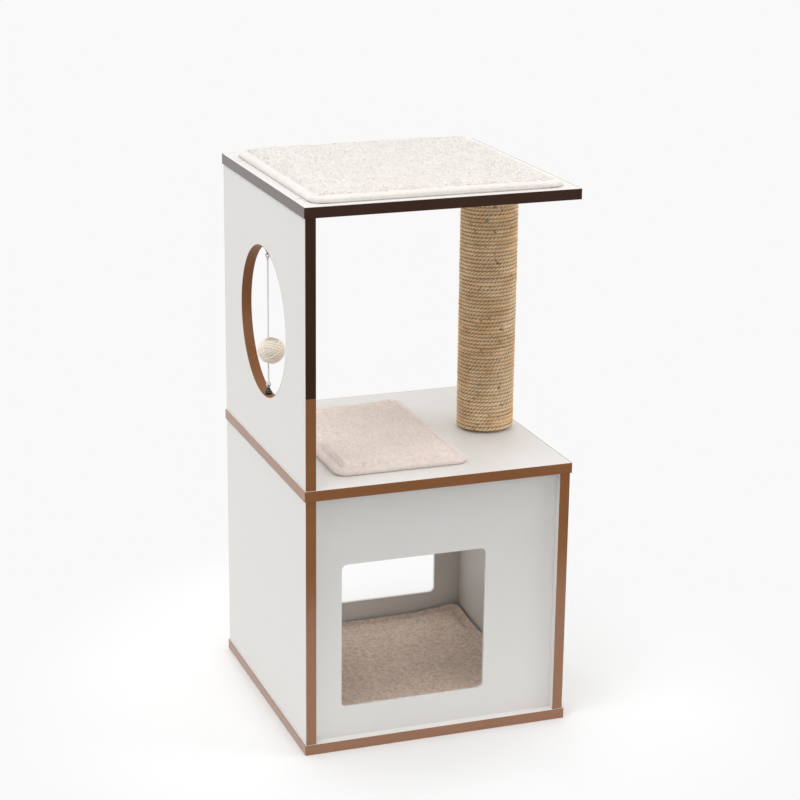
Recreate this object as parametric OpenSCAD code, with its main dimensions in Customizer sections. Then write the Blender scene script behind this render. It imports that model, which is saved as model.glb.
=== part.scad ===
// Cat condo: a closed den below, an open bay with a scratching post above it,
// plush pads on every level, and a ball on an elastic cord in a round side window.
// Millimetres. The origin is the middle of the base's underside, +Z is up,
// the doorway faces -Y and the round window faces -X.

/* [Boards] */
// Width of the base, shelf and top boards
board_w = 400; // [370:1:480]
// Depth of the base, shelf and top boards
board_d = 400; // [370:1:480]
// Thickness of the boards and side panels
board_t = 15; // [14:0.5:18]
// Thickness of the edge band
band_t = 1; // [0.5:0.1:2]
// Set-back of the side panels from the edges of the boards
panel_inset = 2; // [0:0.5:6]
// Clear height of the den, between base and shelf
den_h = 368; // [330:1:420]
// Clear height of the bay, between shelf and top
bay_h = 382; // [340:1:440]
// Height above the shelf where the upper panel's edge band turns from brown to dark
brown_band_h = 132; // [60:1:300]

/* [Den panels] */
// Thickness of the front and back panels
front_t = 5; // [4:0.5:7]
// Set-back of the front panel's face from the side panels' edges
front_setback = 13; // [8:0.5:24]
// Width of the doorway
door_w = 217.5; // [160:0.5:240]
// Height of the doorway
door_h = 218; // [160:1:250]
// Height of the doorway's sill above the base board
sill_h = 45; // [30:1:70]
// Sideways shift of the doorway from the middle, towards the left panel
door_shift = 32.25; // [0:0.25:45]
// Corner radius of the doorway
door_r = 8; // [3:0.5:20]
// Depth of the grooves that hold the front and back panels
groove_depth = 5; // [3:0.5:7]
// Clearance of a panel in its groove, on each face and edge
groove_gap = 0.2; // [0.1:0.05:0.4]

/* [Round window] */
// Radius of the round window, inside its band
hole_r = 109; // [80:1:125]
// Height of the window's centre above the shelf
hole_h = 191; // [170:1:210]

/* [Toy] */
// Diameter of the ball
ball_d = 40; // [30:1:48]
// Height of the ball's centre above the lowest point of the window
ball_h = 65; // [55:1:90]
// How far the ball's centre lies to the inner side of its cord
ball_off = 4.5; // [0:0.5:6]
// Diameter of the elastic cord
cord_d = 2.4; // [1.6:0.1:3]
// Running clearance of the ball on the cord
spin_gap = 0.05; // [0.02:0.01:0.1]
// Radius of the hollow under the ball, where the lower cord goes in
recess_r = 5.5; // [5:0.5:7]
// Depth of that hollow
recess_depth = 16; // [14:0.5:18]
// How far the lower cord reaches into the hollow
cord_reach = 9; // [6:0.5:10]
// Radius of the bead that the ball sits on
bead_r = 3; // [2.4:0.1:4]
// Height of that bead
bead_h = 3; // [2:0.1:4]
// Radius of the upper anchor's foot
upper_foot_r = 3.5; // [3:0.5:6]
// Height of the upper anchor's foot
upper_foot_h = 1.5; // [1:0.1:4]
// Radius of the lower anchor's foot
lower_foot_r = 4.5; // [3:0.5:7]
// Height of the lower anchor's foot
lower_foot_h = 3; // [1:0.1:6]
// Widest radius of the boss round the lower anchor's foot
boss_r = 5.6; // [4.5:0.1:7]
// Share of its height at which that boss is widest
boss_share = 0.4; // [0.2:0.1:0.8]
// Clearance between that boss and the ring above it
boss_clear = 0.7; // [0.5:0.1:2]
// Radius of an anchor's stem in the panel
stem_r = 1.5; // [1:0.1:2.5]
// Length of an anchor's stem in the panel
stem_l = 12; // [6:1:20]
// Wire radius of the eyes and rings
wire_r = 0.8; // [0.6:0.05:1]
// Mean radius of an anchor's eye
eye_r = 2.6; // [2.4:0.1:4]
// Mean radius of a ring
ring_r = 3.4; // [3.3:0.1:5]
// Mean radius of the loop at a cord's end
loop_r = 2.8; // [2.6:0.1:4]
// Radius of the knot below a loop
knot_r = 2.2; // [1.8:0.1:3]
// Clearance between linked loops
link_gap = 0.3; // [0.2:0.05:0.4]
// How much thinner the stretched loop is than the cord, in radius
loop_squeeze = 0.2; // [0:0.05:0.3]
// Gap between an anchor's foot and the window's rim, and between the ball and its bead
foot_gap = 0.1; // [0.05:0.05:0.3]
// Share of its radius that an anchor's foot keeps at its top
foot_taper = 0.75; // [0.5:0.05:1]

/* [Post] */
// Diameter of the post over the rope
post_d = 85; // [70:1:100]
// Distance of the post's axis from the right edge of the boards
post_inset = 53; // [50:1:70]
// Depth of the rope layer
rope_d = 6; // [4:0.5:8]
// Number of turns of the winding
turns = 24; // [16:1:24]
// Gap between one turn and the next
turn_gap = 0.6; // [0.5:0.05:1]
// Gap between the rope and the tube
wrap_gap = 0.3; // [0.2:0.05:0.5]
// Wall of the post's tube
tube_wall = 6; // [4:0.5:8]
// Height of an end plug
plug_h = 24; // [20:1:40]
// Radius of a threaded insert
insert_r = 6; // [5.5:0.1:8]
// Radius of a post bolt
bolt_r = 4; // [3:0.5:5]
// Radius of a post bolt's head
bolt_head_r = 7; // [6:0.5:8]
// Height of a post bolt's head
bolt_head_h = 4; // [3:0.5:5]
// Radius of a post washer
washer_r = 10; // [9:0.5:12]
// Thickness of a post washer
washer_t = 1.6; // [1:0.1:2]

/* [Pads] */
// Thickness of a pad at its crown
pad_t = 12; // [11:0.5:18]
// Thickness of a pad at its hem
hem_t = 7.5; // [6:0.5:9]
// Width of a pad's hem
hem_w = 13; // [8:0.5:20]
// Depth of the sewn line between hem and crown
seam_depth = 1.5; // [0.5:0.1:2.5]
// Half width of the sewn line's groove
seam_w = 2.5; // [1.5:0.1:3.5]
// Rounding of a hem's edges
hem_round = 3; // [2:0.25:3.5]
// Width of the slope from the sewn line up to the crown
slope_w = 14; // [8:0.5:24]
// Fall of the crown from its middle to its edge
crown_fall = 0.6; // [0.2:0.1:1.5]
// How far a pad's sides are drawn in between its corners
side_pull = 2; // [0:0.25:4]
// Corner radius of a pad
pad_r = 20; // [12:1:40]
// Margin of the top pad on its board
top_pad_margin = 15; // [13:0.5:40]
// Width of the shelf pad
shelf_pad_w = 200; // [140:1:240]
// Depth of the shelf pad
shelf_pad_d = 296; // [200:1:340]
// How far the shelf pad lies forward of the middle
shelf_pad_forward = 10; // [0:1:20]
// Gap between the floor pad and the den's walls
floor_pad_gap = 4; // [2:0.5:12]
// Thickness of a pad's cover round the foam
cover_t = 1.2; // [0.8:0.1:2]
// Thickness of a foam core
foam_t = 6; // [4:0.5:7]
// Clearance round a foam core
foam_gap = 0.2; // [0.1:0.05:0.5]
// Thickness of a hook or loop strip
strip_t = 1; // [0.6:0.1:1.5]
// Width of a strip
strip_w = 25; // [15:1:40]
// Length of a strip
strip_l = 100; // [60:1:150]
// Gap between a hook strip and the loop strip above it
strip_gap = 0.2; // [0.1:0.05:0.3]

/* [Fasteners] */
// Radius of a dowel
dowel_r = 4; // [3:0.5:5]
// Length of a dowel in the board
dowel_board = 9; // [6:0.5:10]
// Length of a dowel in the panel
dowel_panel = 20; // [15:1:25]
// Radius of a screw's shank
screw_r = 2.5; // [2:0.1:3]
// Radius of a screw's head
screw_head_r = 4; // [3.5:0.1:4.5]
// Height of a screw's head
screw_head_h = 3; // [2:0.5:4]
// Depth of a screw's head below the surface
screw_recess = 2; // [1.5:0.1:3]
// Length of a screw in the panel
screw_bite = 35; // [25:1:45]
// Radius of a screw cap
cap_r = 4.8; // [4.6:0.1:6]
// Height of a screw cap above the board
cap_h = 0.8; // [0.5:0.1:1.5]
// Radius of a cam lock
cam_r = 7.5; // [7:0.1:8]
// Depth of a cam lock
cam_h = 12; // [11.5:0.1:13]
// Distance of a cam lock from the end of its panel
cam_reach = 34; // [30:1:40]
// Radius of a cam bolt's thread and head
cam_bolt_r = 3; // [2.5:0.1:3.2]
// Radius of a cam bolt's shank
cam_shank_r = 2; // [1.5:0.1:2.4]
// Length of a cam bolt's thread
cam_thread_l = 10; // [8:0.5:11]
// Width of a cam lock's driver slot
slot_w = 1.4; // [1:0.1:2]
// Length of a cam lock's driver slot
slot_l = 8; // [5:0.5:10]
// Clearance of fasteners in their holes
fit_gap = 0.05; // [0.02:0.01:0.1]
// Depth that a drilled hole has to spare
hole_slack = 0.5; // [0.3:0.1:1]
// Distance of the lower panels' dowels from the middle
lower_dowel_y = 60; // [50:1:90]
// Distance of the lower panels' screws and cam locks from the middle
lower_screw_y = 130; // [115:1:150]
// Distance of the upper panel's lower dowels from the middle
upper_dowel_y = 30; // [15:1:40]
// Distance of the upper panel's cam locks from the middle
upper_cam_y = 100; // [96:1:105]
// Distance of the upper panel's top dowels from the middle
top_dowel_y = 60; // [40:1:100]
// Distance of the top screws from the middle
top_screw_y = 140; // [120:1:160]

/* [Hidden] */
$fn = 48;
window_fn = 96;
wind_steps = 20;
corner_steps = 5;
side_steps = 5;

// Levels and planes
base_top = board_t;
shelf_low = base_top + den_h;
shelf_top = shelf_low + board_t;
top_low = shelf_top + bay_h;
top_face = top_low + board_t;
side_x = board_w / 2 - panel_inset - board_t / 2;
panel_d = board_d - 2 * panel_inset;
inner_w = board_w - 2 * (panel_inset + board_t);
front_y = panel_d / 2 - front_setback;
inner_d = 2 * (front_y - front_t);

// The round window and the toy
hole_z = shelf_top + hole_h;
hole_top = hole_z + hole_r;
hole_low = hole_z - hole_r;
ball_z = hole_low + ball_h;
ball_low = ball_z - ball_d / 2;
bead_top = ball_low + recess_depth - foot_gap;
loop_wire_r = cord_d / 2 - loop_squeeze;

// The post
post_x = board_w / 2 - post_inset;
tube_r = post_d / 2 - rope_d - wrap_gap;
plug_r = tube_r - tube_wall - fit_gap;
bolt_sink = washer_t + bolt_head_h + hole_slack;
wind_in = (tube_r + wrap_gap) / cos(180 / wind_steps);
wind_out = post_d / 2;
wind_pitch = (bay_h - 2 * wrap_gap + turn_gap) / (turns + 1);
wind_half = (wind_pitch - turn_gap) / 2;

// A site is [x, y, z of the joint face, side]: the panel, post or toy lies above the face
// where side is 1 and below it where side is -1.
function pair(x, y, z, side) = [for (s = [-1, 1]) [x, s * y, z, side]];
function both_sides(y, z, side) = concat(pair(-side_x, y, z, side), pair(side_x, y, z, side));

dowel_sites = concat(
    both_sides(lower_dowel_y, base_top, 1),
    both_sides(lower_dowel_y, shelf_low, -1),
    pair(-side_x, upper_dowel_y, shelf_top, 1),
    pair(-side_x, top_dowel_y, top_low, -1));
cam_sites = concat(
    both_sides(lower_screw_y, shelf_low, -1),
    pair(-side_x, upper_cam_y, shelf_top, 1));
base_screw_sites = both_sides(lower_screw_y, base_top, 1);
top_screw_sites = pair(-side_x, top_screw_y, top_low, -1);
post_sites = [[post_x, 0, shelf_top, 1], [post_x, 0, top_low, -1]];
upper_toy_site = [-side_x, 0, hole_top, -1];
lower_toy_site = [-side_x, 0, hole_low, 1];

// A pad is [x, y, z of the board under it, width, depth]
top_pad = [0, 0, top_face, board_w - 2 * top_pad_margin, board_d - 2 * top_pad_margin];
shelf_pad_x = (post_x - post_d / 2 - inner_w / 2) / 2;
shelf_pad = [shelf_pad_x, -shelf_pad_forward, shelf_top, shelf_pad_w, shelf_pad_d];
floor_pad = [0, 0, base_top, inner_w - 2 * floor_pad_gap, inner_d - 2 * floor_pad_gap];
pads = [top_pad, shelf_pad, floor_pad];
pad_lift = 2 * strip_t + strip_gap;

// Colours
white = [0.88, 0.88, 0.86];
brown = [0.52, 0.35, 0.23];
dark = [0.24, 0.17, 0.13];
tan = [0.74, 0.61, 0.42];
plush = [0.89, 0.85, 0.80];
steel = [0.70, 0.70, 0.72];
black = [0.10, 0.10, 0.10];
beech = [0.80, 0.65, 0.45];

// Helpers

module block(w, d, h) {
    translate([-w / 2, -d / 2, 0]) cube([w, d, h]);
}

module at(site) {
    translate([site[0], site[1], site[2]]) rotate([site[3] > 0 ? 0 : 180, 0, 0]) children();
}

module at_each(sites) {
    for (site = sites) at(site) children();
}

module rod(r, low, high) {
    translate([0, 0, low]) cylinder(r = r, h = high - low);
}

module link(mean_r, r) {
    rotate_extrude() translate([mean_r, 0]) circle(r);
}

// Fasteners at a site: the board lies below z = 0 and the panel above

module screw(gap) {
    rod(screw_head_r + gap, screw_recess - board_t, screw_recess + screw_head_h - board_t + gap);
    rod(screw_r + gap, screw_recess - board_t, screw_bite + gap);
}

module cam_bolt() {
    rod(cam_bolt_r, -cam_thread_l, 0);
    rod(cam_shank_r, -cam_thread_l, cam_reach);
    rod(cam_bolt_r, cam_reach - cam_bolt_r, cam_reach);
}

module cam_body(inner, gap) {
    translate([inner * (board_t - cam_h) / 2, 0, cam_reach])
        rotate([0, 90, 0])
            cylinder(r = cam_r + gap, h = cam_h + 2 * gap, center = true);
}

module post_bolt_bore() {
    rod(washer_r + fit_gap, -board_t - hole_slack, bolt_sink - board_t);
    rod(bolt_r + fit_gap, -board_t, hole_slack);
}

// Every hole that is drilled into the boards and panels
module drilled_holes() {
    at_each(dowel_sites) rod(dowel_r + fit_gap, -dowel_board - hole_slack, dowel_panel + hole_slack);
    at_each(concat(base_screw_sites, top_screw_sites)) {
        screw(fit_gap);
        rod(screw_head_r + fit_gap, -board_t - hole_slack, screw_recess - board_t + hole_slack);
    }
    for (site = cam_sites) at(site) {
        rod(cam_bolt_r + fit_gap, -cam_thread_l - fit_gap, cam_reach);
        cam_body(-sign(site[0]), fit_gap);
    }
    at_each(post_sites) post_bolt_bore();
    at_each([upper_toy_site, lower_toy_site]) rod(stem_r + fit_gap, -stem_l - hole_slack, hole_slack);
}

// Boards and panels

module board(z) {
    difference() {
        translate([0, 0, z]) block(board_w - 2 * band_t, board_d - 2 * band_t, board_t);
        drilled_holes();
    }
}

module board_band(z) {
    translate([0, 0, z]) difference() {
        block(board_w, board_d, board_t);
        translate([0, 0, -board_t / 2]) block(board_w - 2 * band_t, board_d - 2 * band_t, 2 * board_t);
    }
}

module side_core(x, z, h) {
    translate([x, 0, z]) block(board_t, panel_d - 2 * band_t, h);
}

module side_bands(x, z, h) {
    for (s = [-1, 1])
        translate([x, s * (panel_d - band_t) / 2, z]) block(board_t, band_t, h);
}

module panel_grooves() {
    for (s = [-1, 1])
        translate([0, s * (front_y - front_t / 2), base_top - hole_slack])
            block(inner_w + 2 * groove_depth, front_t + 2 * groove_gap, den_h + 2 * hole_slack);
}

module lower_panel(x) {
    difference() {
        side_core(x, base_top, den_h);
        panel_grooves();
        drilled_holes();
    }
}

module rounded_opening(w, h, r) {
    for (x = [r, w - r], y = [r, h - r]) translate([x, y]) circle(r);
    translate([r, 0]) square([w - 2 * r, h]);
    translate([0, r]) square([w, h - 2 * r]);
}

// The front panel stands on the base, and its sides run in the side panels' grooves
module den_panel() {
    panel_w = inner_w + 2 * (groove_depth - groove_gap);
    translate([0, front_t - front_y, base_top]) rotate([90, 0, 0]) linear_extrude(front_t) difference() {
        translate([-panel_w / 2, 0]) square([panel_w, den_h - groove_gap]);
        translate([-door_w / 2 - door_shift, sill_h]) rounded_opening(door_w, door_h, door_r);
    }
}

module window_cut(r) {
    translate([-side_x, 0, hole_z]) rotate([0, 90, 0])
        cylinder(r = r, h = board_t + 2 * hole_slack, center = true, $fn = window_fn);
}

module base_board() { color(white) board(0); }
module base_edge_band() { color(brown) board_band(0); }
module middle_shelf() { color(white) board(shelf_low); }
module shelf_edge_band() { color(brown) board_band(shelf_low); }
module top_board() { color(white) board(top_low); }
module top_edge_band() { color(dark) board_band(top_low); }
module left_lower_panel() { color(white) lower_panel(-side_x); }
module right_lower_panel() { color(white) lower_panel(side_x); }
module left_lower_edge_band() { color(brown) side_bands(-side_x, base_top, den_h); }
module right_lower_edge_band() { color(brown) side_bands(side_x, base_top, den_h); }
module front_panel() { color(white) den_panel(); }
module back_panel() { color(white) rotate([0, 0, 180]) den_panel(); }

module left_upper_panel() {
    color(white) difference() {
        side_core(-side_x, shelf_top, bay_h);
        window_cut(hole_r + band_t);
        drilled_holes();
    }
}

module left_upper_brown_band() {
    color(brown) side_bands(-side_x, shelf_top, brown_band_h);
}

module left_upper_dark_band() {
    color(dark) side_bands(-side_x, shelf_top + brown_band_h, bay_h - brown_band_h);
}

module porthole_edge_band() {
    color(brown) difference() {
        translate([-side_x, 0, hole_z]) rotate([0, 90, 0])
            cylinder(r = hole_r + band_t, h = board_t, center = true, $fn = window_fn);
        window_cut(hole_r);
        drilled_holes();
    }
}

// Fasteners

module dowels() { color(beech) at_each(dowel_sites) rod(dowel_r, -dowel_board, dowel_panel); }
module base_screws() { color(steel) at_each(base_screw_sites) screw(0); }
module top_screws() { color(steel) at_each(top_screw_sites) screw(0); }

module top_screw_caps() {
    color(white) at_each(top_screw_sites) {
        rod(cap_r, -board_t - cap_h, -board_t);
        rod(screw_head_r, -board_t - cap_h, screw_recess - board_t);
    }
}

module cam_bolts() { color(steel) at_each(cam_sites) cam_bolt(); }

module cam_locks() {
    color(steel) for (site = cam_sites) at(site) difference() {
        inner = -sign(site[0]);
        cam_body(inner, 0);
        rod(cam_bolt_r + fit_gap, cam_reach - 2 * cam_r, cam_reach + fit_gap);
        translate([inner * board_t / 2, 0, cam_reach]) {
            cube([2 * slot_w, slot_w, slot_l], center = true);
            cube([2 * slot_w, slot_l, slot_w], center = true);
        }
    }
}

// Scratching post

module post_tube() {
    color(tan) translate([post_x, 0, 0]) difference() {
        rod(tube_r, shelf_top, top_low);
        rod(tube_r - tube_wall, shelf_top - hole_slack, top_low + hole_slack);
    }
}

module post_end_plugs() {
    color(beech) at_each(post_sites) difference() {
        rod(plug_r, 0, plug_h);
        rod(insert_r + fit_gap, -hole_slack, plug_h + hole_slack);
    }
}

module post_inserts() {
    color(steel) at_each(post_sites) difference() {
        rod(insert_r, 0, plug_h);
        rod(bolt_r + fit_gap, -hole_slack, plug_h + hole_slack);
    }
}

module post_bolts() {
    head_top = bolt_sink - washer_t - board_t;
    color(steel) at_each(post_sites) {
        translate([0, 0, head_top - bolt_head_h]) cylinder(r = bolt_head_r, h = bolt_head_h, $fn = 6);
        rod(bolt_r, head_top - bolt_head_h / 2, plug_h);
    }
}

module post_washers() {
    color(steel) at_each(post_sites) difference() {
        rod(washer_r, bolt_sink - washer_t - board_t, bolt_sink - board_t);
        rod(bolt_r + fit_gap, -board_t, 0);
    }
}

// The rope is one tube that climbs round the post: a flattened section with six corners,
// carried round by a formula, with straight ends.
wind_flat = 0.6;
wind_mid = (wind_in + wind_out) / 2;
wind_section = [
    [wind_in, -wind_flat * wind_half], [wind_mid, -wind_half], [wind_out, -wind_flat * wind_half],
    [wind_out, wind_flat * wind_half], [wind_mid, wind_half], [wind_in, wind_flat * wind_half]];
wind_sides = len(wind_section);
wind_count = turns * wind_steps;

function wind_point(i, k) = let (
        turn = 360 * i / wind_steps,
        p = wind_section[k],
        climb = shelf_top + wrap_gap + wind_half + wind_pitch * i / wind_steps)
    [p[0] * cos(turn), p[0] * sin(turn), climb + p[1]];

function wind_ahead(i) = let (turn = 360 * i / wind_steps) rope_d * [-sin(turn), cos(turn), 0];

wind_points = concat(
    [for (k = [0:wind_sides - 1]) wind_point(0, k) - wind_ahead(0)],
    [for (i = [0:wind_count], k = [0:wind_sides - 1]) wind_point(i, k)],
    [for (k = [0:wind_sides - 1]) wind_point(wind_count, k) + wind_ahead(wind_count)]);
wind_last = wind_count + 2;

function tube_faces(last, sides) = concat(
    [for (i = [0:last - 1], k = [0:sides - 1], half = [0, 1]) let (
            a = i * sides + k,
            b = i * sides + (k + 1) % sides,
            c = b + sides,
            d = a + sides)
        half == 0 ? [a, b, c] : [a, c, d]],
    [for (k = [1:sides - 2]) [0, k + 1, k]],
    [for (k = [1:sides - 2]) let (first = last * sides) [first, first + k, first + k + 1]]);

// The least distance between a corner of one turn and a corner of the next
turn_distances = [
    for (i = [0:wind_count - wind_steps], j = [-1:1])
        for (a = [0:wind_sides - 1], b = [0:wind_sides - 1])
            norm(wind_point(i, a) - wind_point(i + wind_steps + j, b))];
echo(least_gap_between_turns = min(turn_distances));

module sisal_winding() {
    color(tan) translate([post_x, 0, 0]) polyhedron(wind_points, tube_faces(wind_last, wind_sides));
}

// Toy: at its site the rim of the window is z = 0 and the toy hangs towards +z

function eye_z(foot_h) = foot_gap + foot_h + eye_r;
function sway_z(foot_h) = eye_z(foot_h) + eye_r;
function ring_z(foot_h) = sway_z(foot_h) - 2 * wire_r - link_gap + ring_r;
function swing_z(foot_h) = ring_z(foot_h) + ring_r;
function loop_z(foot_h) = swing_z(foot_h) - wire_r - loop_wire_r - link_gap + loop_r;
function knot_z(foot_h) = loop_z(foot_h) + loop_r + knot_r / 2;

module eye(foot_r, foot_h) {
    rod(stem_r, -stem_l, foot_gap + foot_h);
    translate([0, 0, foot_gap]) cylinder(r1 = foot_r, r2 = foot_taper * foot_r, h = foot_h);
    translate([0, 0, eye_z(foot_h)]) rotate([90, 0, 0]) link(eye_r, wire_r);
}

module boss(foot_r, foot_h) {
    boss_h = ring_z(foot_h) - ring_r - wire_r - boss_clear - foot_gap;
    wide_h = boss_share * boss_h;
    translate([0, 0, foot_gap]) cylinder(r1 = foot_r, r2 = boss_r, h = wide_h);
    translate([0, 0, foot_gap + wide_h]) cylinder(r1 = boss_r, r2 = foot_r, h = boss_h - wide_h);
}

module ring(foot_h) {
    translate([0, 0, ring_z(foot_h)]) rotate([0, 90, 0]) link(ring_r, wire_r);
}

module tied_cord(foot_h, end) {
    translate([0, 0, loop_z(foot_h)]) rotate([90, 0, 0]) link(loop_r, loop_wire_r);
    translate([0, 0, knot_z(foot_h)]) sphere(knot_r);
    rod(cord_d / 2, knot_z(foot_h), end);
}

module upper_eye() { color(black) at(upper_toy_site) eye(upper_foot_r, upper_foot_h); }

module lower_eye() {
    color(black) at(lower_toy_site) {
        eye(lower_foot_r, lower_foot_h);
        boss(lower_foot_r, lower_foot_h);
    }
}

module upper_ring() { color(black) at(upper_toy_site) ring(upper_foot_h); }
module lower_ring() { color(black) at(lower_toy_site) ring(lower_foot_h); }

module upper_cord() {
    bead_end = hole_top - bead_top + bead_h;
    color(white) at(upper_toy_site) {
        tied_cord(upper_foot_h, bead_end);
        rod(bead_r, bead_end - bead_h, bead_end);
    }
}

module lower_cord() {
    color(white) at(lower_toy_site) tied_cord(lower_foot_h, ball_low + cord_reach - hole_low);
}

module toy_ball() {
    color(plush) translate([-side_x, 0, 0]) difference() {
        translate([ball_off, 0, ball_z]) sphere(d = ball_d);
        rod(cord_d / 2 + spin_gap, ball_low, ball_z + ball_d);
        rod(recess_r, ball_low - recess_r, ball_low + recess_depth);
    }
}

// Pads: rings of points from the underside to the crown, drawn in between the corners

hem_bend = hem_round * (1 - cos(45));
crown_edge = pad_t - crown_fall;
slope_mid = hem_t + (crown_edge - hem_t) * sin(45);
pad_profile = [
    [hem_round, 0], [hem_bend, hem_bend], [0, hem_t / 2], [hem_bend, hem_t - hem_bend], [hem_round, hem_t],
    [hem_w - seam_w, hem_t], [hem_w, hem_t - seam_depth], [hem_w + seam_w, hem_t],
    [hem_w + slope_w / 2, slope_mid], [hem_w + slope_w, crown_edge]];

function corner_points(x, y, r, from) = [for (i = [0:corner_steps])
    let (a = from + 90 * i / corner_steps) [x + r * cos(a), y + r * sin(a)]];

function side_points(p, q, inward, pull) = [for (i = [1:side_steps])
    let (t = i / (side_steps + 1)) p + (q - p) * t + inward * pull * sin(180 * t)];

function pad_ring(w, d, inset, z) = let (
        r = max(pad_r - inset, hem_round),
        x = w / 2 - inset - r,
        y = d / 2 - inset - r,
        corners = [
            corner_points(x, y, r, 0), corner_points(-x, y, r, 90),
            corner_points(-x, -y, r, 180), corner_points(x, -y, r, 270)],
        inward = [[0, -1], [1, 0], [0, 1], [-1, 0]])
    [for (c = [0:3]) each
        [for (p = concat(corners[c],
            side_points(corners[c][corner_steps], corners[(c + 1) % 4][0], inward[c], side_pull)))
            [p[0], p[1], z]]];

module pad_form(w, d) {
    rings = [for (row = pad_profile) pad_ring(w, d, row[0], row[1])];
    count = len(rings[0]);
    last = len(rings) - 1;
    points = concat([for (one = rings) each one], [[0, 0, 0], [0, 0, pad_t]]);
    under = len(points) - 2;
    crown = len(points) - 1;
    walls = [for (k = [0:last - 1], i = [0:count - 1], half = [0, 1]) let (
            a = k * count + i,
            b = k * count + (i + 1) % count,
            c = b + count,
            d = a + count)
        half == 0 ? [a, d, c] : [a, c, b]];
    ends = [for (i = [0:count - 1], half = [0, 1]) let (j = (i + 1) % count)
        half == 0 ? [under, i, j] : [crown, last * count + j, last * count + i]];
    polyhedron(points, concat(walls, ends));
}

foam_inset = hem_w + slope_w / 2;

module pad_cover(pad) {
    translate([pad[0], pad[1], pad[2] + pad_lift]) difference() {
        pad_form(pad[3], pad[4]);
        translate([0, 0, cover_t])
            block(pad[3] - 2 * foam_inset, pad[4] - 2 * foam_inset, foam_t + foam_gap);
    }
}

module pad_foam(pad) {
    trim = 2 * (foam_inset + foam_gap);
    translate([pad[0], pad[1], pad[2] + pad_lift + cover_t]) block(pad[3] - trim, pad[4] - trim, foam_t);
}

module pad_strips(pad, z) {
    for (s = [-1, 1])
        translate([pad[0] + s * pad[3] / 4, pad[1], pad[2] + z]) block(strip_w, strip_l, strip_t);
}

module top_pad_cover() { color(plush) pad_cover(top_pad); }
module top_pad_foam() { color(white) pad_foam(top_pad); }
module top_pad_loop_strips() { color(white) pad_strips(top_pad, strip_t + strip_gap); }
module shelf_pad_cover() { color(plush) pad_cover(shelf_pad); }
module shelf_pad_foam() { color(white) pad_foam(shelf_pad); }
module shelf_pad_loop_strips() { color(white) pad_strips(shelf_pad, strip_t + strip_gap); }
module floor_pad_cover() { color(plush) pad_cover(floor_pad); }
module floor_pad_foam() { color(white) pad_foam(floor_pad); }
module floor_pad_loop_strips() { color(white) pad_strips(floor_pad, strip_t + strip_gap); }
module hook_strips() { color(white) for (pad = pads) pad_strips(pad, 0); }

base_board();
base_edge_band();
left_lower_panel();
left_lower_edge_band();
right_lower_panel();
right_lower_edge_band();
front_panel();
back_panel();
middle_shelf();
shelf_edge_band();
left_upper_panel();
left_upper_brown_band();
left_upper_dark_band();
porthole_edge_band();
top_board();
top_edge_band();
dowels();
base_screws();
top_screws();
top_screw_caps();
cam_bolts();
cam_locks();
post_tube();
post_end_plugs();
post_inserts();
post_bolts();
post_washers();
sisal_winding();
upper_eye();
upper_ring();
upper_cord();
toy_ball();
lower_eye();
lower_ring();
lower_cord();
top_pad_cover();
top_pad_foam();
top_pad_loop_strips();
shelf_pad_cover();
shelf_pad_foam();
shelf_pad_loop_strips();
floor_pad_cover();
floor_pad_foam();
floor_pad_loop_strips();
hook_strips();
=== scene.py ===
# %% [markdown]
# # A cat condo, dressed in Blender
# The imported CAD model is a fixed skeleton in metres: boards, panels, a post and a hanging toy, each
# at its own place. This lesson dresses it piece by piece. Stiff pieces get softened edges and board
# finishes, and the rope, the plush pads and the toy are modelled as what they are.

# %% Load the skeleton
import math
import random

import bmesh
import bpy
from mathutils import Matrix, Vector, noise


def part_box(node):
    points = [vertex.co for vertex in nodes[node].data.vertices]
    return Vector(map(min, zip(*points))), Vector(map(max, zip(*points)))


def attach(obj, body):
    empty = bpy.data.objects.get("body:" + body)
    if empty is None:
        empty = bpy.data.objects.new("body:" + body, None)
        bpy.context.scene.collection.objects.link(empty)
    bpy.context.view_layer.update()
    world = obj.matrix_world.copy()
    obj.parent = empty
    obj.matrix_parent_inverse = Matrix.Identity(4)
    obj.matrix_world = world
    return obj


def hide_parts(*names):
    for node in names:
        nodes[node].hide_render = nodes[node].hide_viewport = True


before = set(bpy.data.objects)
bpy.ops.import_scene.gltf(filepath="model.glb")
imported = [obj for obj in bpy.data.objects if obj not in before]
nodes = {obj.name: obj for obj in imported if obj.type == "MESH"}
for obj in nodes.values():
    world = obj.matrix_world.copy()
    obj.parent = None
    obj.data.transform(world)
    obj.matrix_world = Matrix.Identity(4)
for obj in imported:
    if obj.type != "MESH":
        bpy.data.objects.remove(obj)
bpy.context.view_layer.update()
scene = bpy.context.scene
MM = 0.001

# %% [markdown]
# ## The camera
# The photograph was taken from the left and from above with a long lens. Its focal length and place
# were worked out from the boards' corners, in pixels of an 800 pixel frame. The lens shift says that
# the picture was cropped to one side of the lens axis.

# %% Place the camera
FRAME_PX = 800
FOCAL_PX = 2159.3
LENS_AXIS_PX = 321.9
AZIMUTH = math.radians(-18.21)
ELEVATION = math.radians(17.30)
EYE = (-1.0479, -2.8520, 1.3979)

camera_data = bpy.data.cameras.new("photo_camera")
camera_data.sensor_width = 36
camera_data.lens = camera_data.sensor_width * FOCAL_PX / FRAME_PX
camera_data.shift_x = (FRAME_PX / 2 - LENS_AXIS_PX) / FRAME_PX
camera_data.clip_end = 200
camera = bpy.data.objects.new("photo_camera", camera_data)
scene.collection.objects.link(camera)
away = Vector((math.sin(AZIMUTH) * math.cos(ELEVATION),
               -math.cos(AZIMUTH) * math.cos(ELEVATION),
               math.sin(ELEVATION)))
camera.location = EYE
camera.rotation_mode = "QUATERNION"
camera.rotation_quaternion = (-away).to_track_quat("-Z", "Y")
scene.camera = camera
print("lens:", round(camera_data.lens, 1), "mm, shift:", round(camera_data.shift_x, 3))

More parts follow.
